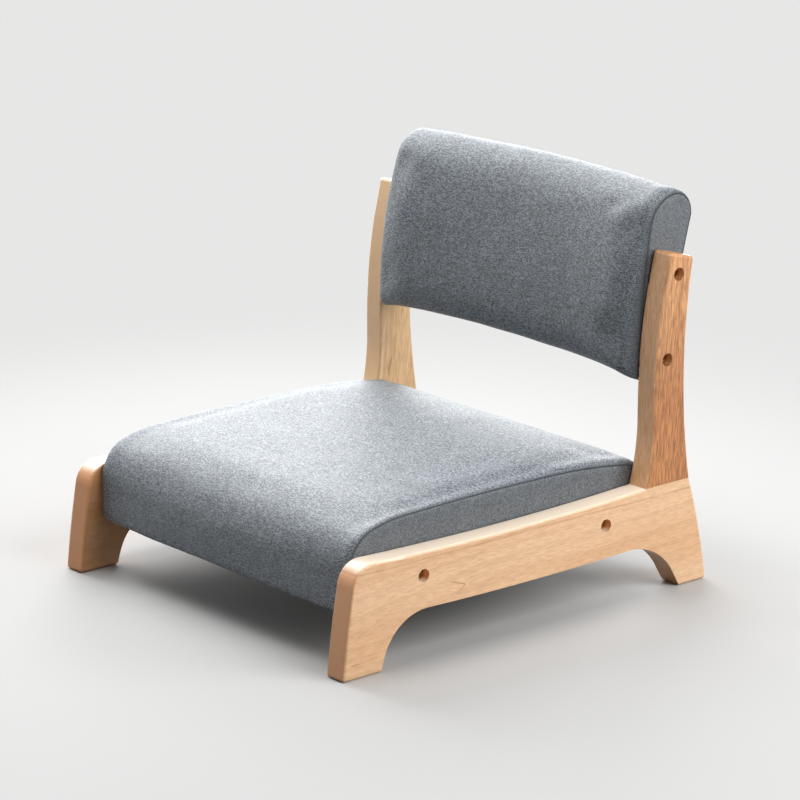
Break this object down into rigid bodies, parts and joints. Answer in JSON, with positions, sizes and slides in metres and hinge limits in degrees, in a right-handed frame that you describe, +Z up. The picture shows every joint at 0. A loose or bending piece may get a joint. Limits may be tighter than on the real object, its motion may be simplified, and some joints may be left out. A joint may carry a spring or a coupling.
{
  "type": "floor chair",
  "caption": "Low legless floor chair: arched solid-wood side frames with raked posts carry a padded seat and a bowed, padded back rest between them.",
  "frame": {"origin": "on the floor, under the middle of the chair's plan", "axes": "+X to the right side as seen from the front, +Y to the rear, +Z up"},
  "size_m": [0.5, 0.546, 0.4626],
  "materials": {
    "rail_wood": "clear satin lacquer over light tan wood, grain along the rail",
    "post_wood": "clear satin lacquer over orange-brown wood, grain along the post",
    "dowel_wood": "bare fluted hardwood",
    "frame_wood": "bare sawn softwood",
    "ply": "bare plywood",
    "bolt_steel": "dark bronze plated, half gloss",
    "zinc_steel": "zinc plated",
    "foam": "pale open-cell foam",
    "cover_cloth": "mid grey melange weave",
    "dust_cloth": "thin black non-woven cloth"
  },
  "bodies": {
    "root": {"right_side_rail": "rail_wood", "left_side_rail": "rail_wood", "right_back_post": "post_wood", "left_back_post": "post_wood", "right_post_dowels": "dowel_wood", "left_post_dowels": "dowel_wood", "seat_bolts": "bolt_steel", "back_bolts": "bolt_steel", "seat_tee_nuts": "zinc_steel", "back_tee_nuts": "zinc_steel", "seat_frame_right_member": "frame_wood", "seat_frame_left_member": "frame_wood", "seat_frame_front_rail": "frame_wood", "seat_frame_rear_rail": "frame_wood", "seat_corner_blocks": "frame_wood", "seat_board": "ply", "seat_board_screws": "zinc_steel", "seat_foam": "foam", "seat_cover": "cover_cloth", "seat_dust_cover": "dust_cloth", "back_panel": "ply", "back_panel_screws": "zinc_steel", "back_right_end_block": "frame_wood", "back_left_end_block": "frame_wood", "back_foam": "foam", "back_cover": "cover_cloth"}
  },
  "joints": []
}
